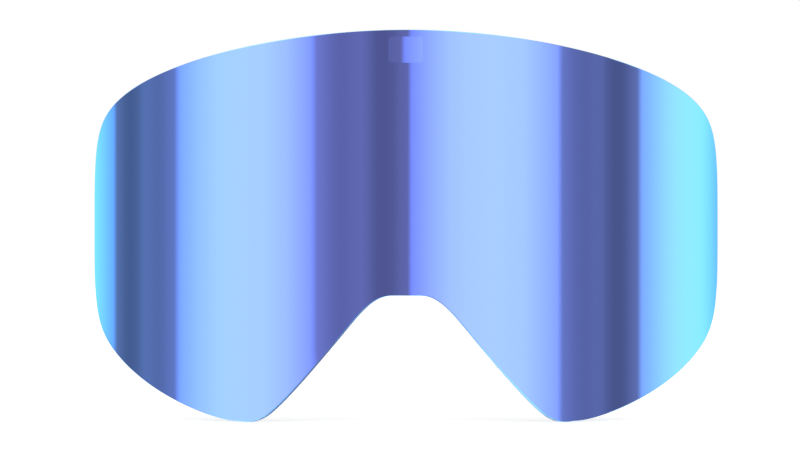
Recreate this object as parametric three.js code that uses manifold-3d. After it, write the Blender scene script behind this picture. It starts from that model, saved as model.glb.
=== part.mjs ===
// A mirrored ski goggle lens: a thermal double lens on a carrier ring that snaps onto a frame by magnets.
// Millimetres, +Z up. The mirrored face looks towards -Y, and the wearer's eyes are on the +Y side.
// The origin is the middle of the brow magnet's seat, where the lens meets the frame on its mid plane.
import * as THREE from "three";
import { mergeVertices } from "three/addons/utils/BufferGeometryUtils.js";
import Module from "manifold-3d";

const wasm = await Module();
wasm.setup();

// ---- Driving dimensions ----

// The front lens is cut from flat sheet and bent round a drum, so its outline is drawn on the flat blank.
// There u runs round the drum from the mid plane, and z runs up from the middle of the blank's height.
const BLANK_WIDTH = 216.2;
const BLANK_HEIGHT = 109.4;
const FRONT_RADIUS = 105;
const FRONT_THICKNESS = 2;

// Knots of the outline's right half. "in" is in from the temple edge and "out" is out from the mid plane,
// "down" is below the crown and "up" above the lobes' feet. "above" and "below" are from half height.
// Headings are in degrees, and "back" and "ahead" are the curve's handles on either side of the knot.
const CROWN = { ahead: 36.3 };
const SHOULDER = { in: 16.3, down: 17.1, heading: -25, back: 17.8, ahead: 16.1 };
const TEMPLE = { above: 4.6, below: 3.3, back: 20.6, ahead: 16.3 };
const CHEEK = { in: 9, up: 20.6, heading: -141, back: 11, ahead: 17.8 };
const LOBE = { out: 49.3, back: 9.2, ahead: 1.1 };
const HEEL = { out: 40.9, up: 1.2, heading: 151, back: 4.7, ahead: 6.1 };
const NOSE_FLANK = { out: 19.7, up: 22.5, heading: 131, back: 5.8, ahead: 9.6 };
const NOSE_ARCH = { half: 3.8, up: 35.3, back: 5.9 };

// A blank raised panel under the crown, with no mark on it. It stands a little askew of the curve behind it.
const PANEL = { width: 9.6, height: 7.3, corner: 1, down: 1.9, raised: 0.2, turn: 1.2, root: 1 };

// The carrier ring, stuck to the back of the front lens inside a bare margin.
const BARE_MARGIN = 2.4;
const CARRIER_WIDTH = 5.6;
const CARRIER_THICKNESS = 2.8;
const CARRIER_CHAMFER = 0.6;
const TAPE_THICKNESS = 0.4;
const TAPE_SET_IN = 0.4;

// Bar magnets, sunk in the carrier's back. A pair sits at a share of the way round from brow to nose.
const MAGNET = { length: 10, width: 3, thickness: 1.8, corner: 0.6, proud: 0.2 };
const MAGNET_PAIRS = { crown: 0.2, shoulder: 0.4, temple: 0.535, cheek: 0.69 };
const GLUE_LINE = 0.25;

// Tapered pegs on the carrier, which drop into holes in the frame.
const PEG = { rootRadius: 1.6, tipRadius: 1.25, height: 2.4, sunk: 1.4, sides: 20 };
const PEG_PAIRS = [0.3, 0.8];

// The foam spacer and the inner lens, inside the carrier.
const CARRIER_TO_INNER = 0.4;
const INNER_THICKNESS = 1;
const GASKET_WIDTH = 4;
const GASKET_THICKNESS = 3;
const GASKET_SET_IN = 0.4;
const INNER_CORNER = 5;

// The porous plug that lets the sealed space between the lenses breathe.
const BREATHER = { radius: 2.75, thickness: 0.8, clearance: 0.3, below: 3, sides: 32 };

// Between two faces that are stuck together.
const BOND_GAP = 0.1;

// How finely curves are cut into flats.
const OUTLINE_STEP = 3;
const COLUMN_STEP = 3;
const ENVELOPE_STEP = 0.8;
const FLATNESS = 0.08;
const CORNER_SIDES = 2;
// How far a cutting tool runs past what it cuts.
const OVERCUT = 1;

// ---- Radii and places that follow from them ----

const frontBack = FRONT_RADIUS - FRONT_THICKNESS;
const tapeFront = frontBack - BOND_GAP;
const tapeBack = tapeFront - TAPE_THICKNESS;
const carrierFront = tapeBack - BOND_GAP;
const carrierBack = carrierFront - CARRIER_THICKNESS;
const seatRadius = carrierBack - MAGNET.proud;
const gasketFront = frontBack - BOND_GAP;
const gasketBack = gasketFront - GASKET_THICKNESS;
const innerFront = gasketBack - BOND_GAP;
const innerBack = innerFront - INNER_THICKNESS;

const carrierOuterInset = BARE_MARGIN;
const carrierInnerInset = BARE_MARGIN + CARRIER_WIDTH;
const carrierMidInset = BARE_MARGIN + CARRIER_WIDTH / 2;
const innerInset = carrierInnerInset + CARRIER_TO_INNER;
const gasketInset = innerInset + GASKET_SET_IN;

const side = BLANK_WIDTH / 2;
const crownZ = BLANK_HEIGHT / 2;
const footZ = -crownZ;
const originZ = crownZ - carrierMidInset;

// ---- The bend: from the blank to the drum ----

const degrees = THREE.MathUtils.degToRad;

// A point of the blank, bent round the drum at a radius.
function bend(u, z, radius) {
  const angle = u / FRONT_RADIUS;
  return new THREE.Vector3(radius * Math.sin(angle), seatRadius - radius * Math.cos(angle), z - originZ);
}

// The place and turn of something laid on the bent sheet: its X along the heading, its Z out of the front.
function placeOnBend(object, { u, z, heading = 0 }, radius) {
  const angle = u / FRONT_RADIUS;
  const along = new THREE.Vector3(Math.cos(angle), Math.sin(angle), 0);
  const up = new THREE.Vector3(0, 0, 1);
  const outward = new THREE.Vector3(Math.sin(angle), -Math.cos(angle), 0);
  object.quaternion.setFromRotationMatrix(new THREE.Matrix4().makeBasis(along, up, outward));
  object.rotateZ(heading);
  object.position.copy(bend(u, z, radius));
  object.updateMatrix();
  return object;
}

// ---- The outline on the blank ----

function outlineKnots() {
  return [
    { u: 0, z: crownZ, heading: 0, ...CROWN },
    { ...SHOULDER, u: side - SHOULDER.in, z: crownZ - SHOULDER.down },
    { u: side, z: TEMPLE.above, heading: -90, back: TEMPLE.back },
    { u: side, z: -TEMPLE.below, heading: -90, ahead: TEMPLE.ahead },
    { ...CHEEK, u: side - CHEEK.in, z: footZ + CHEEK.up },
    { ...LOBE, u: LOBE.out, z: footZ, heading: -180 },
    { ...HEEL, u: HEEL.out, z: footZ + HEEL.up, heading: HEEL.heading - 360 },
    { ...NOSE_FLANK, u: NOSE_FLANK.out, z: footZ + NOSE_FLANK.up, heading: NOSE_FLANK.heading - 360 },
    { u: NOSE_ARCH.half, z: footZ + NOSE_ARCH.up, heading: -180, back: NOSE_ARCH.back },
    { u: 0, z: footZ + NOSE_ARCH.up, heading: -180 },
  ];
}

// The edge from one knot to the next.
function outlineEdge(from, to) {
  const start = new THREE.Vector2(from.u, from.z);
  const end = new THREE.Vector2(to.u, to.z);
  if (!from.ahead && !to.back) return new THREE.LineCurve(start, end);
  const handle = (knot, distance) => {
    const heading = degrees(knot.heading);
    return new THREE.Vector2(Math.cos(heading), Math.sin(heading)).multiplyScalar(distance);
  };
  const leave = start.clone().add(handle(from, from.ahead || 0));
  const arrive = end.clone().sub(handle(to, to.back || 0));
  return new THREE.CubicBezierCurve(start, leave, arrive, end);
}

// The right half of the outline, from the crown to the nose arch: points with the way in from the edge.
// temple says where the edge turns from the upper side to the lower side.
function halfOutline() {
  const knots = outlineKnots();
  const points = [];
  let temple = 0;
  knots.slice(1).forEach((to, index) => {
    const edge = outlineEdge(knots[index], to);
    const steps = Math.max(1, Math.ceil(edge.getLength() / OUTLINE_STEP));
    for (let step = points.length ? 1 : 0; step <= steps; step++) {
      const at = edge.getPointAt(step / steps);
      const way = edge.getTangentAt(step / steps);
      points.push({ u: at.x, z: at.y, inU: way.y, inZ: -way.x });
    }
    if (to.heading === -90 && to.back) temple = points.length - 1;
  });
  return { points, temple };
}

// An outline's point moved in from the edge.
const insetPoint = ({ u, z, inU, inZ }, inset) => ({ u: u + inU * inset, z: z + inZ * inset });

const half = halfOutline();
const mirrored = ({ u, z, inU, inZ }) => ({ u: -u, z, inU: -inU, inZ });

// The whole outline as one closed loop, clockwise from the crown as the front is seen.
const outline = [...half.points, ...half.points.slice(1, -1).reverse().map(mirrored)];

// The outline's upper and lower edges, each from the left temple to the right one.
function edgesOf({ points, temple }) {
  const bothHalves = (right) => [...right.slice(1).reverse().map(mirrored), ...right];
  return {
    upper: bothHalves(points.slice(0, temple + 1)),
    lower: bothHalves(points.slice(temple + 1).reverse()),
  };
}

const outerEdges = edgesOf(half);

// The height of an edge above a place on the blank.
function heightAt(edge, u) {
  const next = edge.findIndex((point) => point.u >= u);
  if (next <= 0) return edge[next < 0 ? edge.length - 1 : 0].z;
  const [a, b] = [edge[next - 1], edge[next]];
  return a.z + ((b.z - a.z) * (u - a.u)) / (b.u - a.u);
}

// The edges moved by a distance, as a ball rolling along them draws them: inwards if inwards is true.
function rolledEdges({ upper, lower }, distance, inwards) {
  const reach = upper[upper.length - 1].u + (inwards ? -distance : distance);
  const dense = (edge) =>
    edge.slice(1).flatMap((b, index) => {
      const a = edge[index];
      const parts = Math.max(1, Math.ceil(Math.hypot(b.u - a.u, b.z - a.z) / (ENVELOPE_STEP / 2)));
      return Array.from({ length: parts }, (_, part) => ({
        u: a.u + ((b.u - a.u) * part) / parts,
        z: a.z + ((b.z - a.z) * part) / parts,
      }));
    }).concat(edge[edge.length - 1]);
  const envelope = (edge, u, sign) => {
    const drop = (point) => Math.sqrt(distance ** 2 - (u - point.u) ** 2);
    const near = edge.filter((point) => Math.abs(u - point.u) < distance);
    const heights = near.map((point) => point.z + sign * drop(point));
    return sign < 0 ? Math.min(...heights) : Math.max(...heights);
  };
  const [denseUpper, denseLower] = [dense(upper), dense(lower)];
  const columns = Math.ceil(reach / ENVELOPE_STEP);
  const moved = { upper: [], lower: [] };
  for (let column = -columns; column <= columns; column++) {
    const u = (column / columns) * reach;
    const top = envelope(denseUpper, u, inwards ? -1 : 1);
    const bottom = envelope(denseLower, u, inwards ? 1 : -1);
    if (top - bottom > 2 * ENVELOPE_STEP) {
      moved.upper.push({ u, z: top });
      moved.lower.push({ u, z: bottom });
    }
  }
  return moved;
}

// The edges a distance further in, with every outer corner rounded to at least a radius.
function insetEdges(edges, distance, corner) {
  return rolledEdges(rolledEdges(edges, distance + corner, true), corner, false);
}

// ---- Solids ----

function geometryOf(positions, triangles) {
  const geometry = new THREE.BufferGeometry();
  const numbers = positions.flatMap((position) => position.toArray());
  geometry.setAttribute("position", new THREE.Float32BufferAttribute(numbers, 3));
  geometry.setIndex(triangles);
  return geometry;
}

function toSolid(geometry, matrix = new THREE.Matrix4()) {
  const bare = geometry.clone().applyMatrix4(matrix);
  bare.deleteAttribute("normal");
  bare.deleteAttribute("uv");
  const merged = mergeVertices(bare, 1e-4);
  return new wasm.Manifold(new wasm.Mesh({
    numProp: 3,
    vertProperties: merged.attributes.position.array,
    triVerts: new Uint32Array(merged.index.array),
  }));
}

function toGeometry(solid) {
  const mesh = solid.getMesh();
  const geometry = new THREE.BufferGeometry();
  geometry.setAttribute("position", new THREE.BufferAttribute(new Float32Array(mesh.vertProperties), 3));
  geometry.setIndex(new THREE.BufferAttribute(new Uint32Array(mesh.triVerts), 1));
  return geometry;
}

// Which places on the blank need a column of points: where an edge turns, and often enough for the bend.
function columnsOf(edges) {
  const turnsOf = (edge) => {
    const kept = [0];
    const split = (first, last) => {
      const [a, b] = [edge[first], edge[last]];
      const slope = (b.z - a.z) / (b.u - a.u);
      const off = (point) => Math.abs(point.z - a.z - slope * (point.u - a.u)) / Math.hypot(1, slope);
      let middle = (first + last) >> 1;
      for (let index = first + 1; index < last; index++) {
        if (off(edge[index]) > off(edge[middle])) middle = index;
      }
      const fine = off(edge[middle]) < FLATNESS && b.u - a.u < COLUMN_STEP;
      if (last - first < 2 || fine) {
        kept.push(last);
      } else {
        split(first, middle);
        split(middle, last);
      }
    };
    split(0, edge.length - 1);
    return kept.map((index) => edge[index].u);
  };
  const turns = edges.flatMap(turnsOf).sort((a, b) => a - b);
  return turns.filter((u, index) => index === 0 || u - turns[index - 1] > FLATNESS);
}

// A sheet between two edges and two radii, bent round the drum, with a window between two more edges.
function bentSheet(outer, frontRadius, backRadius, window) {
  const rows = window ? [outer.upper, window.upper, window.lower, outer.lower] : [outer.upper, outer.lower];
  const columns = columnsOf(rows);
  const reach = window ? window.upper[window.upper.length - 1].u : 0;
  const filled = (column, row) => {
    if (column < 0 || column > columns.length - 2 || row < 0 || row > rows.length - 2) return false;
    return row !== 1 || Math.abs(columns[column] + columns[column + 1]) / 2 > reach;
  };
  const positions = [];
  for (const u of columns) {
    for (const row of rows) {
      const z = heightAt(row, u);
      positions.push(bend(u, z, frontRadius), bend(u, z, backRadius));
    }
  }
  const front = ([column, row]) => 2 * (column * rows.length + row);
  const back = (place) => front(place) + 1;
  const triangles = [];
  const quad = (a, b, c, d) => triangles.push(a, b, c, a, c, d);
  const wall = (from, to) => quad(front(from), back(from), back(to), front(to));
  for (let column = 0; column < columns.length - 1; column++) {
    for (let row = 0; row < rows.length - 1; row++) {
      if (!filled(column, row)) continue;
      const corners = [[column, row], [column, row + 1], [column + 1, row + 1], [column + 1, row]];
      const [upLeft, downLeft, downRight, upRight] = corners;
      quad(...corners.map(front));
      quad(...corners.map(back).reverse());
      if (!filled(column, row - 1)) wall(upRight, upLeft);
      if (!filled(column, row + 1)) wall(downLeft, downRight);
      if (!filled(column - 1, row)) wall(upLeft, downLeft);
      if (!filled(column + 1, row)) wall(downRight, upRight);
    }
  }
  return geometryOf(positions, triangles);
}

// A ring: a section of points, each an inset from the outline and a radius, swept along the outline.
function sweptRing(section) {
  const count = section.length;
  const positions = outline.flatMap((point) =>
    section.map(({ inset, radius }) => {
      const spot = insetPoint(point, inset);
      return bend(spot.u, spot.z, radius);
    }),
  );
  const triangles = [];
  outline.forEach((_, here) => {
    const next = (here + 1) % outline.length;
    section.forEach((__, corner) => {
      const after = (corner + 1) % count;
      const [a, b] = [here * count + corner, next * count + corner];
      const [c, d] = [next * count + after, here * count + after];
      triangles.push(a, b, c, a, c, d);
    });
  });
  return geometryOf(positions, triangles);
}

// A flat slab with rounded corners, its thickness along Z from 0.
function slab(length, width, corner, thickness) {
  const [x, y] = [length / 2 - corner, width / 2 - corner];
  const shape = new THREE.Shape();
  shape.absarc(x, y, corner, 0, Math.PI / 2);
  shape.absarc(-x, y, corner, Math.PI / 2, Math.PI);
  shape.absarc(-x, -y, corner, Math.PI, 1.5 * Math.PI);
  shape.absarc(x, -y, corner, 1.5 * Math.PI, 2 * Math.PI);
  const options = { depth: thickness, bevelEnabled: false, curveSegments: CORNER_SIDES };
  return new THREE.ExtrudeGeometry(shape, options);
}

// The matrix that lays something on the bend.
const onBend = (spot, radius) => placeOnBend(new THREE.Object3D(), spot, radius).matrix;

// ---- Where things sit along the carrier ----

// A spot on the ring's middle line, a share of the way from the brow to the nose, on the right or the left.
function ringSpot(share, hand = 1) {
  const line = half.points.map((point) => insetPoint(point, carrierMidInset));
  const lengths = line.slice(1).map((b, index) => Math.hypot(b.u - line[index].u, b.z - line[index].z));
  let left = share * lengths.reduce((sum, length) => sum + length, 0);
  let index = 0;
  while (index < lengths.length - 1 && left > lengths[index]) left -= lengths[index++];
  const [a, b] = [line[index], line[index + 1]];
  const part = left / lengths[index];
  const heading = Math.atan2(b.z - a.z, b.u - a.u);
  const level = share === 0 || share === 1;
  return {
    u: hand * (a.u + (b.u - a.u) * part),
    z: a.z + (b.z - a.z) * part,
    heading: level ? 0 : hand * heading,
  };
}

const magnetSpots = { brow: ringSpot(0), nose: ringSpot(1) };
for (const [place, share] of Object.entries(MAGNET_PAIRS)) {
  magnetSpots[`${place}_right`] = ringSpot(share, 1);
  magnetSpots[`${place}_left`] = ringSpot(share, -1);
}
const pegSpots = PEG_PAIRS.flatMap((share) => [ringSpot(share, 1), ringSpot(share, -1)]);

// ---- The pieces ----

function finish(color, roughness, metalness) {
  return new THREE.MeshStandardMaterial({ color, roughness, metalness });
}

const mirrorFinish = finish(0x8599ff, 0.05, 1);
const clearFinish = finish(0xc9ccd2, 0.08, 0);
const moldedFinish = finish(0x17181a, 0.5, 0);
const foamFinish = finish(0x26272a, 0.95, 0);
const tapeFinish = finish(0x3c3d40, 0.6, 0);
const nickelFinish = finish(0xc8c6c1, 0.25, 1);
const porousFinish = finish(0xe9e8e4, 0.9, 0);

function frontLens() {
  const panelZ = crownZ - PANEL.down - PANEL.height / 2;
  const panel = slab(PANEL.width, PANEL.height, PANEL.corner, PANEL.root + PANEL.raised);
  const turn = new THREE.Matrix4().makeRotationY(degrees(PANEL.turn));
  const laid = onBend({ u: 0, z: panelZ }, FRONT_RADIUS - PANEL.root).multiply(turn);
  const sheet = toSolid(bentSheet(outerEdges, FRONT_RADIUS, frontBack));
  return toGeometry(sheet.add(toSolid(panel, laid)));
}

function carrierTape() {
  const [outer, inner] = [carrierOuterInset + TAPE_SET_IN, carrierInnerInset - TAPE_SET_IN];
  return sweptRing([
    { inset: outer, radius: tapeFront },
    { inset: outer, radius: tapeBack },
    { inset: inner, radius: tapeBack },
    { inset: inner, radius: tapeFront },
  ]);
}

function lensCarrier() {
  let ring = toSolid(sweptRing([
    { inset: carrierOuterInset, radius: carrierFront },
    { inset: carrierOuterInset, radius: carrierBack + CARRIER_CHAMFER },
    { inset: carrierOuterInset + CARRIER_CHAMFER, radius: carrierBack },
    { inset: carrierInnerInset - CARRIER_CHAMFER, radius: carrierBack },
    { inset: carrierInnerInset, radius: carrierBack + CARRIER_CHAMFER },
    { inset: carrierInnerInset, radius: carrierFront },
  ]));
  const pegLength = PEG.height + PEG.sunk;
  const peg = new THREE.CylinderGeometry(PEG.rootRadius, PEG.tipRadius, pegLength, PEG.sides);
  peg.rotateX(Math.PI / 2);
  const pegMiddle = carrierBack - PEG.height + pegLength / 2;
  for (const spot of pegSpots) ring = ring.add(toSolid(peg, onBend(spot, pegMiddle)));
  const pocket = slab(
    MAGNET.length + 2 * GLUE_LINE,
    MAGNET.width + 2 * GLUE_LINE,
    MAGNET.corner + GLUE_LINE,
    MAGNET.thickness + GLUE_LINE + OVERCUT,
  );
  for (const spot of Object.values(magnetSpots)) {
    ring = ring.subtract(toSolid(pocket, onBend(spot, seatRadius - OVERCUT)));
  }
  return toGeometry(ring);
}

function magnets() {
  const geometry = slab(MAGNET.length, MAGNET.width, MAGNET.corner, MAGNET.thickness);
  const group = new THREE.Group();
  for (const [place, spot] of Object.entries(magnetSpots)) {
    const magnet = new THREE.Mesh(geometry, nickelFinish);
    magnet.name = `magnet_${place}`;
    group.add(placeOnBend(magnet, spot, seatRadius));
  }
  return group;
}

const innerEdges = insetEdges(outerEdges, innerInset, INNER_CORNER);
const breatherZ = crownZ - gasketInset - GASKET_WIDTH - BREATHER.below - BREATHER.radius;

function foamGasket() {
  const outside = insetEdges(outerEdges, gasketInset, INNER_CORNER);
  const inside = insetEdges(outerEdges, gasketInset + GASKET_WIDTH, INNER_CORNER);
  return bentSheet(outside, gasketFront, gasketBack, inside);
}

// A disc across the inner lens at the breather's place, on the middle of the lens's thickness.
function breatherDisc(radius, thickness) {
  const disc = new THREE.CylinderGeometry(radius, radius, thickness, BREATHER.sides);
  disc.rotateX(Math.PI / 2);
  return disc;
}

const breatherSpot = [{ u: 0, z: breatherZ }, (innerFront + innerBack) / 2];

function innerLens() {
  const hole = breatherDisc(BREATHER.radius + BREATHER.clearance, INNER_THICKNESS + 2 * OVERCUT);
  const sheet = toSolid(bentSheet(innerEdges, innerFront, innerBack));
  return toGeometry(sheet.subtract(toSolid(hole, onBend(...breatherSpot))));
}

function breatherPlug() {
  const plug = new THREE.Mesh(breatherDisc(BREATHER.radius, BREATHER.thickness), porousFinish);
  return placeOnBend(plug, ...breatherSpot);
}

// ---- The assembly ----

const goggleLens = new THREE.Group();

function add(name, mesh) {
  mesh.name = name;
  goggleLens.add(mesh);
}

add("front_lens", new THREE.Mesh(frontLens(), mirrorFinish));
add("carrier_tape", new THREE.Mesh(carrierTape(), tapeFinish));
add("lens_carrier", new THREE.Mesh(lensCarrier(), moldedFinish));
goggleLens.add(magnets());
add("foam_gasket", new THREE.Mesh(foamGasket(), foamFinish));
add("inner_lens", new THREE.Mesh(innerLens(), clearFinish));
add("breather_plug", breatherPlug());

export default goggleLens;
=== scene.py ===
"""A mirrored ski goggle lens with its magnetic carrier ring, sealed inner lens and breather."""
import math

import bpy
from mathutils import Matrix, Vector
from mathutils.geometry import interpolate_bezier


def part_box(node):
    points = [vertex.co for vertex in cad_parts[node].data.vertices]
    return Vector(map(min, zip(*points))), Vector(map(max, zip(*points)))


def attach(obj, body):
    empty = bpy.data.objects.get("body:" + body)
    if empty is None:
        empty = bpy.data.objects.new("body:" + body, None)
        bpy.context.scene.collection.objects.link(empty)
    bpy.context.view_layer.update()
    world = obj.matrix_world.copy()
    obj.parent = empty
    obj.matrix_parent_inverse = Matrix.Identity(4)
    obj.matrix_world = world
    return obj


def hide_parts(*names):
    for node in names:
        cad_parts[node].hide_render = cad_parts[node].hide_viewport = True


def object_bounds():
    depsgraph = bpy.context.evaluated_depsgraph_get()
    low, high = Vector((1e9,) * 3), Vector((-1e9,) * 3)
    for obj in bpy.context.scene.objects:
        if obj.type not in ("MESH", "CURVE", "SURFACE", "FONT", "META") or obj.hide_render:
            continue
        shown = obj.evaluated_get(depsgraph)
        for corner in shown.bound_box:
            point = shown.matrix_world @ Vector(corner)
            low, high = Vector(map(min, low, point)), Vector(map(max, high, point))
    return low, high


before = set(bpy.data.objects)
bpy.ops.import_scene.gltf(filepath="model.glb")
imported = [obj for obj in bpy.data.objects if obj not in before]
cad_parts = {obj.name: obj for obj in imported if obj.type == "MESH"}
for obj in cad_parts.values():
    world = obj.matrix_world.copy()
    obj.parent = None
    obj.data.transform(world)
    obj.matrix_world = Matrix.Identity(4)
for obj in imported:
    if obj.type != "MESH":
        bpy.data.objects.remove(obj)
cad_box = [list(corner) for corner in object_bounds()]

# ---- Front lens ----
# The outer lens is 2 mm mirrored polycarbonate. It is routed from flat sheet to its outline, its rim is
# polished, and it is then rolled to a drum of 105 mm radius about an upright axis behind it. So it is
# drawn flat here as well, with X along the sheet, Z up and Y into its depth, and then rolled.

MM = 0.001
FRONT_RADIUS = 105 * MM
FRONT_THICKNESS = 2 * MM
RIM_BEVEL = 0.15 * MM
# The play between one layer and the next.
LAYER_GAP = 0.1 * MM
# A flat piece is cut every STRIP along the sheet and every ROW up it. The shift, a share of a step, keeps
# the cuts off the middle and off edges that are there already.
STRIP, ROW = 1.2 * MM, 6 * MM
CUT_SHIFT = 0.37
# How far along Y the normal of a face points: less than this on a wall, and more on a front or a back.
WALL_LIMIT = 0.5
TINY = 1e-5

# These three are in millimetres, as the knots are.
HALF_WIDTH = 108.1
HALF_HEIGHT = 54.7
OUTLINE_STEP = 0.9
# The knots of the outline's right half, from the crown to the nose arch, in millimetres: out from the
# middle, up from half height, the heading in degrees, and the curve's handles behind and ahead.
OUTLINE_KNOTS = [
    (0, HALF_HEIGHT, 0, 36.3, 36.3),
    (HALF_WIDTH - 16.3, HALF_HEIGHT - 17.1, -25, 17.8, 16.1),
    (HALF_WIDTH, 4.6, -90, 20.6, 0),
    (HALF_WIDTH, -3.3, -90, 0, 16.3),
    (HALF_WIDTH - 9, 20.6 - HALF_HEIGHT, -141, 11, 17.8),
    (49.3, -HALF_HEIGHT, -180, 9.2, 1.1),
    (40.9, 1.2 - HALF_HEIGHT, -209, 4.7, 6.1),
    (19.7, 22.5 - HALF_HEIGHT, -229, 5.8, 9.6),
    (3.8, 35.3 - HALF_HEIGHT, -180, 5.9, 0),
]


def one_step(heading):
    """A step of 1 along a heading in degrees."""
    return Vector((math.cos(math.radians(heading)), math.sin(math.radians(heading))))


def drawn_outline():
    """Points of the whole outline, clockwise from the crown, each with the way in from the edge."""
    left = [(-u, z, -heading, ahead, back) for u, z, heading, back, ahead in OUTLINE_KNOTS[:0:-1]]
    knots = OUTLINE_KNOTS + left
    points = []
    for here, there in zip(knots, knots[1:] + knots[:1]):
        *start, start_heading, _, ahead = here
        *end, end_heading, back, _ = there
        start, end = Vector(start), Vector(end)
        leave = start + ahead * one_step(start_heading)
        arrive = end - back * one_step(end_heading)
        steps = max(2, math.ceil((end - start).length / OUTLINE_STEP))
        points += interpolate_bezier(start, leave, arrive, end, steps + 1)[:-1]
    outline = []
    for index, point in enumerate(points):
        along = (points[(index + 1) % len(points)] - points[index - 1]).normalized()
        outline.append((point * MM, Vector((along.y, -along.x))))
    return outline


outline = drawn_outline()


def inset(distance):
    """The outline moved in from the edge."""
    return [point + inward * distance for point, inward in outline]


def deselect_all():
    bpy.ops.object.select_all(action="DESELECT")


def edit(piece, element="VERT"):
    """Opens a piece in edit mode with nothing selected."""
    deselect_all()
    bpy.context.view_layer.objects.active = piece
    piece.select_set(True)
    bpy.ops.object.mode_set(mode="EDIT")
    bpy.ops.mesh.select_mode(type=element)
    bpy.ops.mesh.select_all(action="DESELECT")


def object_mode():
    bpy.ops.object.mode_set(mode="OBJECT")


def select(piece, kind, wanted):
    """Selects the vertices, edges or faces that pass a test, from object mode, and goes back to edit mode."""
    object_mode()
    for element in getattr(piece.data, kind):
        element.select = wanted(element)
    bpy.ops.object.mode_set(mode="EDIT")


def add_loop(loop, depth, fill):
    """A closed loop of points on the flat sheet, at a depth behind the front face."""
    deselect_all()
    bpy.ops.mesh.primitive_circle_add(vertices=len(loop), fill_type=fill)
    piece = bpy.context.object
    for vertex, point in zip(piece.data.vertices, loop):
        vertex.co = (point.x, depth, point.y)
    return piece


def thicken(piece, thickness):
    """Extrudes a flat piece backwards into a closed solid."""
    edit(piece, "FACE")
    bpy.ops.mesh.select_all(action="SELECT")
    bpy.ops.mesh.extrude_region_move(TRANSFORM_OT_translate={"value": (0, thickness, 0)})
    bpy.ops.mesh.select_all(action="SELECT")
    bpy.ops.mesh.normals_make_consistent(inside=False)
    object_mode()


def bevel_at(piece, depths, width, segments):
    """Bevels the edges that lie wholly at one of these depths and part a face from a wall."""
    edit(piece, "EDGE")
    vertices = piece.data.vertices
    walls = {}
    for face in piece.data.polygons:
        for key in face.edge_keys:
            walls.setdefault(key, []).append(abs(face.normal.y))

    def rim(edge):
        level = [vertices[index].co.y for index in edge.vertices]
        flat = any(max(abs(y - depth) for y in level) < TINY for depth in depths)
        return flat and min(walls[edge.key]) < WALL_LIMIT < max(walls[edge.key])

    select(piece, "edges", rim)
    bpy.ops.mesh.bevel(offset=width, offset_type="OFFSET", segments=segments, profile=0.5,
                       affect="EDGES", clamp_overlap=False)
    object_mode()


def cut_into_strips(piece, strip=STRIP, row=ROW):
    """Cuts a flat piece along the sheet and up it, so that it can be rolled smoothly."""
    for axis, step in ((0, strip), (2, row)):
        reach = max(abs(vertex.co[axis]) for vertex in piece.data.vertices)
        edit(piece)
        for count in range(-math.floor(reach / step), math.floor(reach / step) + 1):
            place, normal = [0, 0, 0], [0, 0, 0]
            place[axis], normal[axis] = (count + CUT_SHIFT) * step, 1
            bpy.ops.mesh.select_all(action="SELECT")
            bpy.ops.mesh.bisect(plane_co=place, plane_no=normal)
        object_mode()


# Where the blank lies in the frame. Its crown is the top of the front lens. Its front is found from the
# tape behind it, because the box of the front lens takes in the raised panel as well.
CROWN_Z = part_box("front_lens")[1].z
MID_Z = CROWN_Z - HALF_HEIGHT * MM
FRONT_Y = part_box("carrier_tape")[0].y - FRONT_THICKNESS - LAYER_GAP
AXIS_Y = FRONT_Y + FRONT_RADIUS


def roll(piece):
    """Rolls a flat piece to the drum and puts it in its place in the frame."""
    deselect_all()
    bpy.context.view_layer.objects.active = piece
    piece.select_set(True)
    bend = piece.modifiers.new("Roll", "SIMPLE_DEFORM")
    bend.deform_method = "BEND"
    bend.deform_axis = "Z"
    bend.angle = piece.dimensions.x / FRONT_RADIUS
    bpy.ops.object.modifier_apply(modifier=bend.name)
    piece.data.transform(Matrix.Translation((0, FRONT_Y, MID_Z)))


def finish_mesh(piece, name, smooth_angle=10):
    """Names a piece and shades it smooth but for its sharp edges."""
    deselect_all()
    bpy.context.view_layer.objects.active = piece
    piece.select_set(True)
    bpy.ops.object.shade_smooth_by_angle(angle=math.radians(smooth_angle))
    piece.name = name
    piece.data.name = name


def new_material(name):
    """A node material: returns it with its node tree and its Principled shader."""
    material = bpy.data.materials.new(name)
    material.use_nodes = True
    return material, material.node_tree, material.node_tree.nodes["Principled BSDF"]


def add_node(tree, kind, settings=None, **inputs):
    """Adds a node, sets its properties, and links or sets its inputs, spaces in their names written _."""
    node = tree.nodes.new(kind)
    for key, value in (settings or {}).items():
        setattr(node, key, value)
    for key, value in inputs.items():
        socket = node.inputs[int(key[1:]) if key[0] == "_" else key.replace("_", " ")]
        if isinstance(value, bpy.types.NodeSocket):
            tree.links.new(value, socket)
        else:
            socket.default_value = value
    return node


def ramp(tree, factor, stops):
    """A colour ramp with these (place, colour) stops."""
    node = add_node(tree, "ShaderNodeValToRGB", Fac=factor)
    elements = node.color_ramp.elements
    while len(elements) > 1:
        elements.remove(elements[-1])
    elements[0].position = stops[0][0]
    for place, _ in stops[1:]:
        elements.new(place)
    for element, (_, colour) in zip(elements, stops):
        element.color = (*colour, 1)
    return node.outputs["Color"]


def paint(tree, shader, factor, stops):
    """Gives a shader the colours of a ramp with these (place, colour) stops."""
    tree.links.new(ramp(tree, factor, stops), shader.inputs["Base Color"])


# The mirror is a vacuum-deposited stack. It is violet blue seen square on. Towards the temples it is painted
# cyan:
# a painted sheen for the colour the stack shows where the sheet curves away from the view. Each stop is a
# distance out from the middle, in millimetres, with its colour.
MIRROR_REACH = 90
MIRROR_COLOURS_AND_PAINTED_SHEEN = [
    (0, (0.262, 0.315, 1.0)),
    (48, (0.245, 0.32, 1.0)),
    (65, (0.225, 0.36, 1.0)),
    (73, (0.22, 0.46, 1.0)),
    (79.5, (0.22, 0.56, 1.0)),
    (85.5, (0.22, 0.64, 1.0)),
    (MIRROR_REACH, (0.22, 0.74, 1.0)),
]

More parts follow.
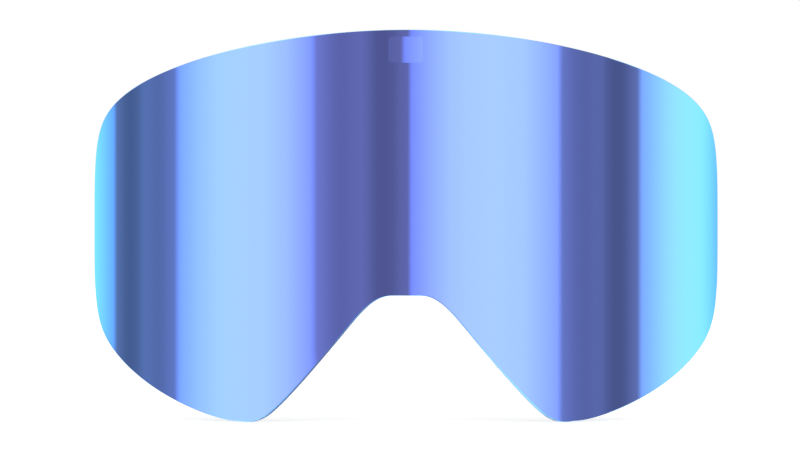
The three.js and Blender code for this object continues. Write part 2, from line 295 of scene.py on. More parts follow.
mirror, tree, shader = new_material("mirror_coat")
place = add_node(tree, "ShaderNodeTexCoord").outputs["Object"]
x = add_node(tree, "ShaderNodeSeparateXYZ", Vector=place).outputs["X"]
out = add_node(tree, "ShaderNodeMath", {"operation": "ABSOLUTE"}, _0=x).outputs[0]
share = add_node(tree, "ShaderNodeMath", {"operation": "MULTIPLY"}, _0=out,
                 _1=1 / (MIRROR_REACH * MM)).outputs[0]
# The ramp paints the cyan sheen in by distance out from the middle.
paint(tree, shader, share, [(distance / MIRROR_REACH, tint) for distance, tint in MIRROR_COLOURS_AND_PAINTED_SHEEN])
shader.inputs["Metallic"].default_value = 1
shader.inputs["Specular Tint"].default_value = (0.9, 0.97, 1, 1)
haze = add_node(tree, "ShaderNodeTexNoise", Vector=place, Scale=60.0, Detail=3.0).outputs["Fac"]
haze = add_node(tree, "ShaderNodeMapRange", Value=haze, To_Min=0.015, To_Max=0.035).outputs["Result"]
tree.links.new(haze, shader.inputs["Roughness"])

# The stack wraps round onto the routed rim, which is painted cyan: a painted sheen for the colour the stack
# shows on the rim's walls at a grazing angle.
rim_painted_sheen, tree, shader = new_material("rim_painted_sheen")
place = add_node(tree, "ShaderNodeTexCoord").outputs["Object"]
cloud = add_node(tree, "ShaderNodeTexNoise", Vector=place, Scale=220.0, Detail=3.0).outputs["Fac"]
paint(tree, shader, cloud, [(0.3, (0.17, 0.50, 0.94)), (0.7, (0.20, 0.58, 1.0))])
shader.inputs["Metallic"].default_value = 1
satin = add_node(tree, "ShaderNodeMapRange", Value=cloud, To_Min=0.05, To_Max=0.12).outputs["Result"]
tree.links.new(satin, shader.inputs["Roughness"])

# The lens's own polycarbonate, seen from behind: a deep smoky rose.
smoke, tree, shader = new_material("smoke_polycarbonate")
place = add_node(tree, "ShaderNodeTexCoord").outputs["Object"]
cloud = add_node(tree, "ShaderNodeTexNoise", Vector=place, Scale=25.0, Detail=2.0).outputs["Fac"]
paint(tree, shader, cloud, [(0.3, (0.030, 0.020, 0.026)), (0.7, (0.040, 0.027, 0.033))])
shader.inputs["Roughness"].default_value = 0.04
shader.inputs["IOR"].default_value = 1.58
shader.inputs["Coat Weight"].default_value = 0.6
shader.inputs["Coat Roughness"].default_value = 0.03

front_lens = add_loop([point for point, _ in outline], 0, "NGON")
thicken(front_lens, FRONT_THICKNESS)
bevel_at(front_lens, (0, FRONT_THICKNESS), RIM_BEVEL, segments=3)
cut_into_strips(front_lens)
for finish in (mirror, rim_painted_sheen, smoke):
    front_lens.data.materials.append(finish)
RIM_INDEX, BACK_INDEX = 1, 2
BACK_DEPTH = FRONT_THICKNESS * 0.97
SQUARE_ON = 0.99
for face in front_lens.data.polygons:
    if face.center.y > BACK_DEPTH:
        face.material_index = BACK_INDEX
    elif abs(face.normal.y) < SQUARE_ON:
        face.material_index = RIM_INDEX
roll(front_lens)
finish_mesh(front_lens, "mirrored_lens")
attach(front_lens, "root")
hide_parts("front_lens")

# ---- Blank panel ----
# Under the crown, where a maker would put a mark, the mirrored lens has a small raised panel with nothing
# on it. It is bonded on a degree out of true, so that it catches the light a little off the lens.

PANEL_WIDTH, PANEL_HEIGHT, PANEL_CORNER = 9.6 * MM, 7.3 * MM, 1 * MM
PANEL_DOWN = 1.9 * MM
# It stands proud of the sheet by the first, and is sunk in it by the second.
PANEL_RAISED, PANEL_ROOT = 0.12 * MM, 0.8 * MM
PANEL_BEVEL = 0.02 * MM
PANEL_STRIP, PANEL_ROW = 0.8 * MM, 2 * MM
PANEL_TURN = math.radians(1.07)
CORNER_STEPS = 6


def rounded_slab(width, height, corner, low, high):
    """A slab with rounded upright corners, from one depth to another, at the middle of the sheet."""
    deselect_all()
    bpy.ops.mesh.primitive_cube_add(size=1, location=(0, 0, 0))
    slab = bpy.context.object
    slab.data.transform(Matrix.Diagonal((width, high - low, height, 1)))
    slab.data.transform(Matrix.Translation((0, (low + high) / 2, 0)))
    edit(slab, "EDGE")
    vertices = slab.data.vertices

    def upright(edge):
        start, end = (vertices[index].co for index in edge.vertices)
        return abs(start.y - end.y) > TINY

    select(slab, "edges", upright)
    bpy.ops.mesh.bevel(offset=corner, offset_type="OFFSET", segments=CORNER_STEPS, affect="EDGES")
    object_mode()
    return slab


panel_z = HALF_HEIGHT * MM - PANEL_DOWN - PANEL_HEIGHT / 2
panel = rounded_slab(PANEL_WIDTH, PANEL_HEIGHT, PANEL_CORNER, -PANEL_RAISED, PANEL_ROOT)
bevel_at(panel, (-PANEL_RAISED,), PANEL_BEVEL, segments=2)
cut_into_strips(panel, PANEL_STRIP, PANEL_ROW)
panel.data.transform(Matrix.Translation((0, 0, panel_z)))
roll(panel)
pivot = Vector((0, FRONT_Y, 0))
turn = Matrix.Translation(pivot) @ Matrix.Rotation(PANEL_TURN, 4, "Z") @ Matrix.Translation(-pivot)
panel.data.transform(turn)
panel.data.materials.append(mirror)
finish_mesh(panel, "blank_panel")
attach(panel, "root")

# ---- Bonding tape ----
# A die-cut ring of grey acrylic foam tape holds the carrier to the back of the front lens. It is cut a
# little narrower than the carrier, so only its edge shows, deep in the slot between the two.

# The carrier's outer and inner edges are this far in from the edge of the lens.
CARRIER_OUTER, CARRIER_INNER = 2.4 * MM, 8 * MM
TAPE_SET_IN = 0.4 * MM
TAPE_FRONT = FRONT_THICKNESS + LAYER_GAP
TAPE_THICKNESS = 0.4 * MM


def add_band(outer, inner, depth):
    """A flat band between two closed loops that have as many points as each other."""
    band = add_loop(outer, depth, "NOTHING")
    inside = add_loop(inner, depth, "NOTHING")
    band.select_set(True)
    inside.select_set(True)
    bpy.context.view_layer.objects.active = band
    bpy.ops.object.join()
    band = bpy.context.object
    edit(band, "EDGE")
    bpy.ops.mesh.select_all(action="SELECT")
    bpy.ops.mesh.bridge_edge_loops()
    object_mode()
    return band


def bump(tree, shader, height, strength, distance):
    """Adds a bump to a shader's normal."""
    node = add_node(tree, "ShaderNodeBump", Height=height, Strength=strength, Distance=distance)
    tree.links.new(node.outputs["Normal"], shader.inputs["Normal"])


acrylic, tree, shader = new_material("acrylic_tape")
place = add_node(tree, "ShaderNodeTexCoord").outputs["Object"]
grain = add_node(tree, "ShaderNodeTexNoise", Vector=place, Scale=2500.0, Detail=2.0).outputs["Fac"]
paint(tree, shader, grain, [(0.35, (0.045, 0.046, 0.05)), (0.65, (0.075, 0.076, 0.08))])
shader.inputs["Roughness"].default_value = 0.6
bump(tree, shader, grain, strength=0.4, distance=0.05 * MM)

tape = add_band(inset(CARRIER_OUTER + TAPE_SET_IN), inset(CARRIER_INNER - TAPE_SET_IN), TAPE_FRONT)
thicken(tape, TAPE_THICKNESS)
cut_into_strips(tape)
tape.data.materials.append(acrylic)
roll(tape)
finish_mesh(tape, "bonding_tape")
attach(tape, "root")
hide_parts("carrier_tape")

# ---- Carrier ring ----
# An injection-moulded black nylon ring. Its back edges are rounded, ten pockets in its back take the
# magnets, and four tapered pegs drop into holes in the goggle's frame. Faint round marks show where
# the ejector pins pushed it out of its mould.

CARRIER_FRONT = TAPE_FRONT + TAPE_THICKNESS + LAYER_GAP
CARRIER_THICKNESS = 2.8 * MM
CARRIER_BACK = CARRIER_FRONT + CARRIER_THICKNESS
CARRIER_ROUND, CARRIER_EDGE, POCKET_EDGE = 0.6 * MM, 0.15 * MM, 0.1 * MM
EJECTOR_RADIUS, EJECTOR_DEPTH = 1.1 * MM, 0.07 * MM
PIN_SIDES = 32
MAGNET_LENGTH, MAGNET_WIDTH, MAGNET_THICKNESS = 10 * MM, 3 * MM, 1.8 * MM
MAGNET_CORNER, MAGNET_PROUD = 0.6 * MM, 0.2 * MM
GLUE_LINE = 0.25 * MM
SEAT = CARRIER_BACK + MAGNET_PROUD
POCKET_FLOOR = SEAT - MAGNET_THICKNESS - GLUE_LINE
OVERCUT = 1 * MM

# Shares of the way round the ring from the brow to the nose, on both halves.
MAGNET_PAIRS = {"crown": 0.2, "shoulder": 0.4, "temple": 0.535, "cheek": 0.69}
PEG_PAIRS = (0.3, 0.8)
EJECTOR_PAIRS = (0.1, 0.26, 0.345, 0.468, 0.61, 0.745, 0.86, 0.94)
# Radius and depth behind the ring's back in millimetres, from the flare at a peg's root to its tip.
PEG_PROFILE = [(2.1, -0.4), (2.1, -0.05), (1.8, 0.06), (1.62, 0.25), (1.55, 0.6), (1.32, 2.15), (1.2, 2.33),
               (0.95, 2.4)]


def ring_spot(share, hand=1):
    """Where a share of the ring's middle line lies on the flat sheet, and which way the ring runs there."""
    middle = inset((CARRIER_OUTER + CARRIER_INNER) / 2)
    line = middle[:len(middle) // 2 + 1]
    lengths = [(there - here).length for here, there in zip(line, line[1:])]
    left = share * sum(lengths)
    index = 0
    while index < len(lengths) - 1 and left > lengths[index]:
        left -= lengths[index]
        index += 1
    spot = line[index].lerp(line[index + 1], left / lengths[index])
    run = line[index + 1] - line[index]
    heading = 0 if share in (0, 1) else hand * math.atan2(run.y, run.x)
    return Vector((hand * spot.x, spot.y)), heading


def lay(piece, spot, heading=0):
    """Moves a piece made at the middle of the flat sheet to a spot, and turns it to a heading."""
    turned = Matrix.Rotation(-heading, 4, "Y")
    piece.data.transform(Matrix.Translation((spot.x, 0, spot.y)) @ turned)


def turned_piece(profile, sides):
    """A round piece with its axis along Y, extruded and scaled ring by ring: (radius, depth) pairs."""
    deselect_all()
    radius, depth = profile[0]
    bpy.ops.mesh.primitive_circle_add(vertices=sides, radius=radius, fill_type="NGON", location=(0, 0, 0))
    piece = bpy.context.object
    edit(piece, "FACE")
    bpy.ops.mesh.select_all(action="SELECT")
    for (before, start), (after, end) in zip(profile, profile[1:]):
        bpy.ops.mesh.extrude_region_move(TRANSFORM_OT_translate={"value": (0, 0, end - start)})
        bpy.ops.transform.resize(value=(after / before, after / before, 1))
    bpy.ops.mesh.select_all(action="SELECT")
    bpy.ops.mesh.normals_make_consistent(inside=False)
    object_mode()
    piece.data.transform(Matrix.Rotation(math.radians(-90), 4, "X") @ Matrix.Translation((0, 0, depth)))
    return piece


def combine(piece, tools, operation):
    """Joins the tools into one, and adds them to a piece or cuts them out of it."""
    deselect_all()
    for tool in tools:
        tool.select_set(True)
    bpy.context.view_layer.objects.active = tools[0]
    if len(tools) > 1:
        bpy.ops.object.join()
    boolean = piece.modifiers.new("Combine", "BOOLEAN")
    boolean.operation = operation
    boolean.solver = "EXACT"
    boolean.object = tools[0]
    deselect_all()
    bpy.context.view_layer.objects.active = piece
    bpy.ops.object.modifier_apply(modifier=boolean.name)
    bpy.data.objects.remove(tools[0])


magnet_spots = {"brow": ring_spot(0), "nose": ring_spot(1)}
for pair, share in MAGNET_PAIRS.items():
    magnet_spots[f"{pair}_right"] = ring_spot(share, 1)
    magnet_spots[f"{pair}_left"] = ring_spot(share, -1)

carrier = add_band(inset(CARRIER_OUTER), inset(CARRIER_INNER), CARRIER_FRONT)
thicken(carrier, CARRIER_THICKNESS)
bevel_at(carrier, (CARRIER_BACK,), CARRIER_ROUND, segments=4)
bevel_at(carrier, (CARRIER_FRONT,), CARRIER_EDGE, segments=2)

pockets = []
for spot, heading in magnet_spots.values():
    pocket = rounded_slab(MAGNET_LENGTH + 2 * GLUE_LINE, MAGNET_WIDTH + 2 * GLUE_LINE,
                          MAGNET_CORNER + GLUE_LINE, POCKET_FLOOR, SEAT + OVERCUT)
    lay(pocket, spot, heading)
    pockets.append(pocket)
for share in EJECTOR_PAIRS:
    for hand in (1, -1):
        mark = turned_piece([(EJECTOR_RADIUS, CARRIER_BACK - EJECTOR_DEPTH),
                             (EJECTOR_RADIUS, SEAT + OVERCUT)], PIN_SIDES)
        lay(mark, ring_spot(share, hand)[0])
        pockets.append(mark)
combine(carrier, pockets, "DIFFERENCE")
bevel_at(carrier, (CARRIER_BACK,), POCKET_EDGE, segments=2)
pegs = []
for share in PEG_PAIRS:
    for hand in (1, -1):
        peg = turned_piece([(radius * MM, CARRIER_BACK + depth * MM) for radius, depth in PEG_PROFILE],
                           PIN_SIDES)
        lay(peg, ring_spot(share, hand)[0])
        pegs.append(peg)
combine(carrier, pegs, "UNION")
cut_into_strips(carrier)

nylon, tree, shader = new_material("moulded_nylon")
place = add_node(tree, "ShaderNodeTexCoord").outputs["Object"]
cloud = add_node(tree, "ShaderNodeTexNoise", Vector=place, Scale=90.0, Detail=3.0).outputs["Fac"]
spark = add_node(tree, "ShaderNodeTexNoise", Vector=place, Scale=5200.0, Detail=2.0,
                 Roughness=0.6).outputs["Fac"]
paint(tree, shader, cloud, [(0.3, (0.016, 0.0165, 0.018)), (0.7, (0.026, 0.0265, 0.028))])
satin = add_node(tree, "ShaderNodeMapRange", Value=spark, To_Min=0.36, To_Max=0.56).outputs["Result"]
tree.links.new(satin, shader.inputs["Roughness"])
bump(tree, shader, spark, strength=0.35, distance=0.02 * MM)
carrier.data.materials.append(nylon)
roll(carrier)
finish_mesh(carrier, "carrier_ring", smooth_angle=24)
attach(carrier, "root")
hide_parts("lens_carrier")

# ---- Magnets ----
# Ten nickel-plated neodymium bars hold the lens on its frame. Each is straight, stands a hair proud of
# the ring's back, and is set in its pocket with a line of dark epoxy that has sunk a little as it cured.

MAGNET_FRONT = SEAT - MAGNET_THICKNESS
MAGNET_EDGE = 0.18 * MM
# How much longer and wider than a magnet the glue and the hole in it are.
GLUE_EXTRA, HOLE_EXTRA = 1.2 * GLUE_LINE, 0.1 * GLUE_LINE
GLUE_FRONT, GLUE_BACK = POCKET_FLOOR + 0.15 * MM, CARRIER_BACK - 0.12 * MM
HOLE_FRONT = MAGNET_FRONT - 0.01 * MM

nickel, tree, shader = new_material("nickel_plating")
place = add_node(tree, "ShaderNodeTexCoord").outputs["Object"]
blotch = add_node(tree, "ShaderNodeTexNoise", Vector=place, Scale=420.0, Detail=4.0).outputs["Fac"]
paint(tree, shader, blotch, [(0.3, (0.56, 0.545, 0.51)), (0.7, (0.68, 0.665, 0.63))])
shader.inputs["Metallic"].default_value = 1
scuffed = add_node(tree, "ShaderNodeMapRange", Value=blotch, To_Min=0.16, To_Max=0.34).outputs["Result"]
tree.links.new(scuffed, shader.inputs["Roughness"])
scratch = add_node(tree, "ShaderNodeTexNoise", Vector=place, Scale=2600.0, Detail=1.0).outputs["Fac"]
bump(tree, shader, scratch, strength=0.12, distance=0.02 * MM)

epoxy, tree, shader = new_material("epoxy")
place = add_node(tree, "ShaderNodeTexCoord").outputs["Object"]
cloud = add_node(tree, "ShaderNodeTexNoise", Vector=place, Scale=600.0, Detail=2.0).outputs["Fac"]
paint(tree, shader, cloud, [(0.3, (0.03, 0.028, 0.024)), (0.7, (0.05, 0.046, 0.04))])
shader.inputs["Roughness"].default_value = 0.18
bump(tree, shader, cloud, strength=0.3, distance=0.05 * MM)


def on_drum(piece, spot, heading, depth):
    """Puts a straight piece, made at the middle of the flat sheet, at its spot on the drum."""
    angle = spot.x / FRONT_RADIUS
    radius = FRONT_RADIUS - depth
    place = Vector((radius * math.sin(angle), AXIS_Y - radius * math.cos(angle), MID_Z + spot.y))
    turned = Matrix.Rotation(angle, 4, "Z") @ Matrix.Rotation(-heading, 4, "Y")
    piece.data.transform(Matrix.Translation(place) @ turned @ Matrix.Translation((0, -depth, 0)))


glue_lines = []
for name, (spot, heading) in magnet_spots.items():
    magnet = rounded_slab(MAGNET_LENGTH, MAGNET_WIDTH, MAGNET_CORNER, MAGNET_FRONT, SEAT)
    bevel_at(magnet, (MAGNET_FRONT, SEAT), MAGNET_EDGE, segments=3)
    on_drum(magnet, spot, heading, SEAT)
    magnet.data.materials.append(nickel)
    finish_mesh(magnet, f"bar_magnet_{name}", smooth_angle=35)
    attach(magnet, "root")
    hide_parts(f"magnet_{name}")

    glue = rounded_slab(MAGNET_LENGTH + GLUE_EXTRA, MAGNET_WIDTH + GLUE_EXTRA,
                        MAGNET_CORNER + GLUE_LINE, GLUE_FRONT, GLUE_BACK)
    core = rounded_slab(MAGNET_LENGTH + HOLE_EXTRA, MAGNET_WIDTH + HOLE_EXTRA, MAGNET_CORNER,
                        HOLE_FRONT, SEAT)
    combine(glue, [core], "DIFFERENCE")
    on_drum(glue, spot, heading, SEAT)
    glue_lines.append(glue)

deselect_all()
for glue in glue_lines:
    glue.select_set(True)
bpy.context.view_layer.objects.active = glue_lines[0]
bpy.ops.object.join()
glue = bpy.context.object
glue.data.materials.append(epoxy)
finish_mesh(glue, "magnet_glue", smooth_angle=35)
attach(glue, "root")

# ---- Foam gasket ----
# A die-cut ring of closed-cell foam is stuck between the two lenses and seals the air between them. Its
# cut walls show open cells. It is soft enough to bulge where it is squeezed, but it is drawn with rounded
# edges and no bulge.

INNER_INSET = 8.4 * MM
INNER_CORNER = 5 * MM
GASKET_SET_IN, GASKET_WIDTH, GASKET_THICKNESS = 0.4 * MM, 4 * MM, 3 * MM
GASKET_ROUND = 0.35 * MM
GASKET_FRONT = FRONT_THICKNESS + LAYER_GAP
# How many columns a rolled line has on each side of its middle, and how close its points are first set.
COLUMNS = 110
FILL_STEP = 0.25 * MM


def edge_lines(points):
    """The upper and lower lines of a loop that runs clockwise from its crown, each from left to right."""
    upper = [point for index, point in enumerate(points) if outline[index][1].y < 0]
    lower = [point for index, point in enumerate(points) if outline[index][1].y >= 0]
    return sorted(upper, key=lambda point: point.x), sorted(lower, key=lambda point: point.x)


def filled_in(line):
    """A line with points added so that none are further apart than the step for it."""
    dense = []
    for here, there in zip(line, line[1:]):
        parts = max(1, math.ceil((there - here).length / FILL_STEP))
        dense += [here.lerp(there, part / parts) for part in range(parts)]
    return dense + [line[-1]]


def rolled_along(lines, distance, inwards):
    """The lines moved by a distance, as a ball that rolls along them draws them."""
    upper, lower = (filled_in(line) for line in lines)
    reach = upper[-1].x + (-distance if inwards else distance)

    def envelope(line, x, sign):
        near = [point for point in line if abs(x - point.x) <= distance + TINY]
        heights = [point.y + sign * math.sqrt(max(0, distance ** 2 - (x - point.x) ** 2)) for point in near]
        return min(heights) if sign < 0 else max(heights)

    moved = ([], [])
    for column in range(-COLUMNS, COLUMNS + 1):
        x = reach * math.sin(math.pi / 2 * column / COLUMNS)
        moved[0].append(Vector((x, envelope(upper, x, -1 if inwards else 1))))
        moved[1].append(Vector((x, envelope(lower, x, 1 if inwards else -1))))
    return moved


def rounded_inset(distance):
    """The outline moved in from the edge, with its corners rounded, as one closed loop."""
    lines = edge_lines([point for point, _ in outline])
    inner = rolled_along(lines, distance + INNER_CORNER, True)
    upper, lower = rolled_along(inner, INNER_CORNER, False)
    return upper + lower[::-1]


foam, tree, shader = new_material("closed_cell_foam")
place = add_node(tree, "ShaderNodeTexCoord").outputs["Object"]
cells = add_node(tree, "ShaderNodeTexVoronoi", Vector=place, Scale=2400.0).outputs["Distance"]
cloud = add_node(tree, "ShaderNodeTexNoise", Vector=place, Scale=300.0, Detail=3.0).outputs["Fac"]
mixed = add_node(tree, "ShaderNodeMath", {"operation": "MULTIPLY"}, _0=cells, _1=cloud).outputs[0]
paint(tree, shader, mixed, [(0.05, (0.012, 0.012, 0.013)), (0.4, (0.042, 0.042, 0.045))])
shader.inputs["Roughness"].default_value = 0.95
shader.inputs["Sheen Weight"].default_value = 0.15
bump(tree, shader, cells, strength=0.8, distance=0.15 * MM)

gasket_inset = INNER_INSET + GASKET_SET_IN
gasket = add_band(rounded_inset(gasket_inset), rounded_inset(gasket_inset + GASKET_WIDTH), GASKET_FRONT)
thicken(gasket, GASKET_THICKNESS)
bevel_at(gasket, (GASKET_FRONT, GASKET_FRONT + GASKET_THICKNESS), GASKET_ROUND, segments=3)
cut_into_strips(gasket)
gasket.data.materials.append(foam)
roll(gasket)
finish_mesh(gasket, "foam_spacer", smooth_angle=24)
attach(gasket, "root")
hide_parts("foam_gasket")

# ---- Inner lens ----
# The inner lens is 1 mm clear cellulose propionate, die-cut and coated against fog, which leaves a slight
# haze on it. Near its top a round hole takes the breather.

INNER_FRONT = GASKET_FRONT + GASKET_THICKNESS + LAYER_GAP
INNER_THICKNESS = 1 * MM
INNER_EDGE = 0.12 * MM
BREATHER_RADIUS, BREATHER_THICKNESS, BREATHER_CLEARANCE = 2.75 * MM, 0.8 * MM, 0.3 * MM
BREATHER_SIDES = 64
breather_low, breather_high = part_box("breather_plug")
breather_spot = Vector((0, (breather_low.z + breather_high.z) / 2 - MID_Z))

clear, tree, shader = new_material("anti_fog_propionate")
place = add_node(tree, "ShaderNodeTexCoord").outputs["Object"]
cloud = add_node(tree, "ShaderNodeTexNoise", Vector=place, Scale=18.0, Detail=2.0).outputs["Fac"]
paint(tree, shader, cloud, [(0.3, (0.040, 0.042, 0.046)), (0.7, (0.046, 0.049, 0.054))])
shader.inputs["Alpha"].default_value = 0.8
shader.inputs["Roughness"].default_value = 0.3
shader.inputs["Specular IOR Level"].default_value = 0.9
shader.inputs["Coat Weight"].default_value = 1
shader.inputs["Coat Roughness"].default_value = 0.03

inner_lens = add_loop(rounded_inset(INNER_INSET), INNER_FRONT, "NGON")
thicken(inner_lens, INNER_THICKNESS)
bevel_at(inner_lens, (INNER_FRONT, INNER_FRONT + INNER_THICKNESS), INNER_EDGE, segments=2)
hole_radius = BREATHER_RADIUS + BREATHER_CLEARANCE
hole = turned_piece([(hole_radius, INNER_FRONT - OVERCUT), (hole_radius, INNER_FRONT + 2 * OVERCUT)],
                    BREATHER_SIDES)
lay(hole, breather_spot)
combine(inner_lens, [hole], "DIFFERENCE")
cut_into_strips(inner_lens)
inner_lens.data.materials.append(clear)
roll(inner_lens)
finish_mesh(inner_lens, "clear_inner_lens")
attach(inner_lens, "root")
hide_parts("inner_lens")

# ---- Breather ----
# A plug of sintered white plastic lets the air between the lenses out when the wearer rides a lift, and keeps
# water from coming in. It is pressed into a thin bead of clear sealant, which is not drawn.

sintered, tree, shader = new_material("sintered_plastic")
place = add_node(tree, "ShaderNodeTexCoord").outputs["Object"]
grains = add_node(tree, "ShaderNodeTexVoronoi", Vector=place, Scale=3800.0).outputs["Distance"]
paint(tree, shader, grains, [(0.1, (0.80, 0.79, 0.76)), (0.7, (0.58, 0.57, 0.54))])
shader.inputs["Roughness"].default_value = 0.85
bump(tree, shader, grains, strength=0.7, distance=0.1 * MM)

plug_front = INNER_FRONT + (INNER_THICKNESS - BREATHER_THICKNESS) / 2
plug_back = plug_front + BREATHER_THICKNESS
# How much its edges are rounded off in radius, and at what depth, from its front to its back.
plug_rings = [
    (0.12 * MM, plug_front),
    (0, plug_front + 0.1 * MM),
    (0, plug_back - 0.12 * MM),
    (0.04 * MM, plug_back - 0.05 * MM),
    (0.15 * MM, plug_back),
]
plug = turned_piece([(BREATHER_RADIUS - lost, depth) for lost, depth in plug_rings], BREATHER_SIDES)
on_drum(plug, breather_spot, 0, 0)
plug.data.materials.append(sintered)
finish_mesh(plug, "breather", smooth_angle=35)
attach(plug, "root")
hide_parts("breather_plug")

# ---- Studio ----
# A plain pale floor and a white surround. The mirror needs something to show: tall soft boxes stand round
# the lens, with darker gaps between them, and they are in the world so that they stay put from all sides.

# Each run of shades is spread evenly between two bearings, 0 in front of the lens and positive to +X.
SOFT_BOXES = [
    (-178, -166, [(0.34, 0.32, 0.4), (0.95, 0.95, 0.98)]),
    (-150, -124, [(1.05, 1.05, 1.05), (1.05, 1.05, 1.05)]),
    (-121.6, -109.6, [(0.88, 1.14, 1.2), (0.77, 0.95, 1.22), (0.61, 0.7, 1.15)]),
    (-77.5, -30.7, [(0.9, 1.12, 1.22), (1.29, 1.6, 1.52), (1.55, 1.95, 1.6), (1.57, 2.0, 1.6),
                    (1.56, 1.94, 1.6), (1.35, 1.63, 1.5), (0.92, 1.08, 1.25)]),
    (1.9, 49.3, [(0.74, 0.88, 1.1), (1.08, 1.34, 1.3), (1.4, 1.73, 1.5), (1.54, 1.89, 1.55),
                 (1.58, 1.93, 1.6), (1.55, 1.93, 1.6), (1.51, 1.86, 1.6), (1.27, 1.55, 1.45),
                 (1.01, 1.2, 1.2)]),
    (82, 121.6, [(0.94, 1.1, 1.15), (1.08, 1.29, 1.16), (1.25, 1.46, 1.18), (1.34, 1.51, 1.2),
                 (1.27, 1.47, 1.2), (1.23, 1.41, 1.18), (1.07, 1.33, 1.13), (0.83, 1.03, 1.12),
                 (0.57, 0.71, 1.03)]),
    (130, 180, [(0.5, 0.5, 0.56), (0.3, 0.27, 0.4), (0.34, 0.32, 0.4)]),
]
# The gaps show the room in faint upright stripes: a tint at either end, and how light each stripe is.
DARK_GAPS = [
    (-107.4, -80, (0.94, 0.64, 1), (0.94, 0.90, 1),
     [0.42, 0.36, 0.30, 0.275, 0.295, 0.35, 0.43, 0.435, 0.41, 0.40, 0.435, 0.50, 0.54]),
    (-28.4, 0.5, (0.95, 0.96, 1), (1.07, 1.03, 1),
     [0.60, 0.53, 0.45, 0.405, 0.41, 0.435, 0.44, 0.38, 0.29, 0.28, 0.31, 0.38, 0.41]),
    (51.2, 79.8, (0.93, 1.0, 1), (1.12, 1.0, 1),
     [0.575, 0.485, 0.425, 0.388, 0.389, 0.405, 0.40, 0.31, 0.262, 0.255, 0.295, 0.38, 0.43]),
]
# The ramps hold shares of this, and the background's strength multiplies them up again.
BRIGHTEST = 2.0
# A ramp holds 32 stops at most, so three ramps that overlap share the ring between them.
RING_PARTS = [(-180, -45), (-62, 38), (20, 180)]
WHITE = (1, 1, 1, 1)
ROOM_LIGHT = 0.85
FLOOR_SIZE = 6
FLOOR_PAINT = 0.85
FLOOR_GLOW = 0.5

world = bpy.data.worlds.new("studio")
bpy.context.scene.world = world
world.use_nodes = True
tree = world.node_tree
tree.nodes.clear()


def spread(first, last, shades):
    """The shades with their bearings, spread evenly from the first bearing to the last."""
    step = (last - first) / (len(shades) - 1)
    return [(first + step * index, shade) for index, shade in enumerate(shades)]


stops = []
for first, last, shades in SOFT_BOXES:
    stops += spread(first, last, shades)
for first, last, first_tint, last_tint, levels in DARK_GAPS:
    steps = len(levels) - 1
    tints = [Vector(first_tint).lerp(Vector(last_tint), index / steps) for index in range(steps + 1)]
    stops += spread(first, last, [tuple(tint * level) for tint, level in zip(tints, levels)])
stops = sorted((bearing, [value / BRIGHTEST for value in shade]) for bearing, shade in stops)

way = add_node(tree, "ShaderNodeTexCoord").outputs["Generated"]
axes = add_node(tree, "ShaderNodeSeparateXYZ", Vector=way).outputs
towards = add_node(tree, "ShaderNodeMath", {"operation": "MULTIPLY"}, _0=axes["Y"], _1=-1.0).outputs[0]
bearing = add_node(tree, "ShaderNodeMath", {"operation": "ARCTAN2"}, _0=axes["X"], _1=towards).outputs[0]


def ring_part(low, high):
    """The shades between two bearings, on a ramp of their own."""
    factor = add_node(tree, "ShaderNodeMapRange", Value=bearing, From_Min=math.radians(low),
                      From_Max=math.radians(high)).outputs["Result"]
    here = [((place - low) / (high - low), shade) for place, shade in stops if low <= place <= high]
    return ramp(tree, factor, here)


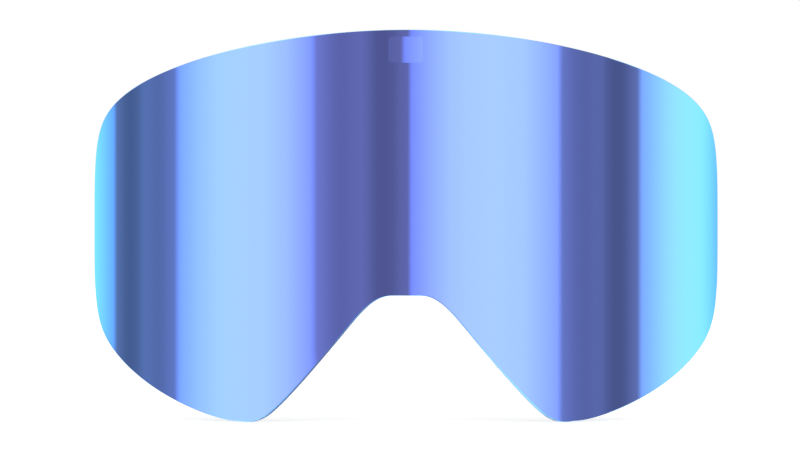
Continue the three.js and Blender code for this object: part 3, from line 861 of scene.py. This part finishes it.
boxes = ring_part(*RING_PARTS[0])
for (_, last_high), (low, high) in zip(RING_PARTS, RING_PARTS[1:]):
    beyond = add_node(tree, "ShaderNodeMath", {"operation": "GREATER_THAN"}, _0=bearing,
                      _1=math.radians((low + last_high) / 2)).outputs[0]
    boxes = add_node(tree, "ShaderNodeMix", {"data_type": "RGBA"}, _0=beyond, _6=boxes,
                     _7=ring_part(low, high)).outputs[2]
seen_in_gloss = add_node(tree, "ShaderNodeBackground", Color=boxes, Strength=BRIGHTEST).outputs[0]
plain = add_node(tree, "ShaderNodeBackground", Color=WHITE, Strength=ROOM_LIGHT).outputs[0]
white = add_node(tree, "ShaderNodeBackground", Color=WHITE, Strength=1.0).outputs[0]
rays = add_node(tree, "ShaderNodeLightPath").outputs
direct = add_node(tree, "ShaderNodeMath", {"operation": "MAXIMUM"}, _0=rays["Is Camera Ray"],
                  _1=rays["Is Transmission Ray"]).outputs[0]
lit = add_node(tree, "ShaderNodeMixShader", _0=rays["Is Glossy Ray"], _1=plain, _2=seen_in_gloss).outputs[0]
shown = add_node(tree, "ShaderNodeMixShader", _0=direct, _1=lit, _2=white).outputs[0]
add_node(tree, "ShaderNodeOutputWorld", Surface=shown)

deselect_all()
bpy.ops.mesh.primitive_plane_add(size=FLOOR_SIZE, location=(0, 0, 0))
floor = bpy.context.object
floor.name = "floor"
floor.data.transform(Matrix.Translation((0, 0, cad_box[0][2])))
floor_finish, tree, shader = new_material("pale_floor")
shader.inputs["Base Color"].default_value = (FLOOR_PAINT, FLOOR_PAINT, FLOOR_PAINT, 1)
shader.inputs["Roughness"].default_value = 0.9
shader.inputs["Emission Color"].default_value = WHITE
rays = add_node(tree, "ShaderNodeLightPath").outputs
glow = add_node(tree, "ShaderNodeMath", {"operation": "MULTIPLY"}, _0=rays["Is Camera Ray"],
                _1=FLOOR_GLOW).outputs[0]
tree.links.new(glow, shader.inputs["Emission Strength"])
floor.data.materials.append(floor_finish)
floor.visible_glossy = False

# The camera looks straight at the lens from 1.4 m, through a long lens, a touch to the left of centre.
CAMERA_DISTANCE, CAMERA_LEFT, CAMERA_UP = 1.4, 1.75 * MM, 0.3 * MM
SENSOR_WIDTH, FOCAL_LENGTH, FARTHEST = 36, 226.16, 50
camera_data = bpy.data.cameras.new("camera")
camera = bpy.data.objects.new("camera", camera_data)
bpy.context.scene.collection.objects.link(camera)
camera_data.sensor_width = SENSOR_WIDTH
camera_data.lens = FOCAL_LENGTH
camera_data.clip_end = FARTHEST
camera.location = (-CAMERA_LEFT, FRONT_Y - CAMERA_DISTANCE, MID_Z + CAMERA_UP)
camera.rotation_euler = (math.radians(90), 0, 0)
bpy.context.scene.camera = camera
bpy.context.scene.view_settings.view_transform = "Standard"
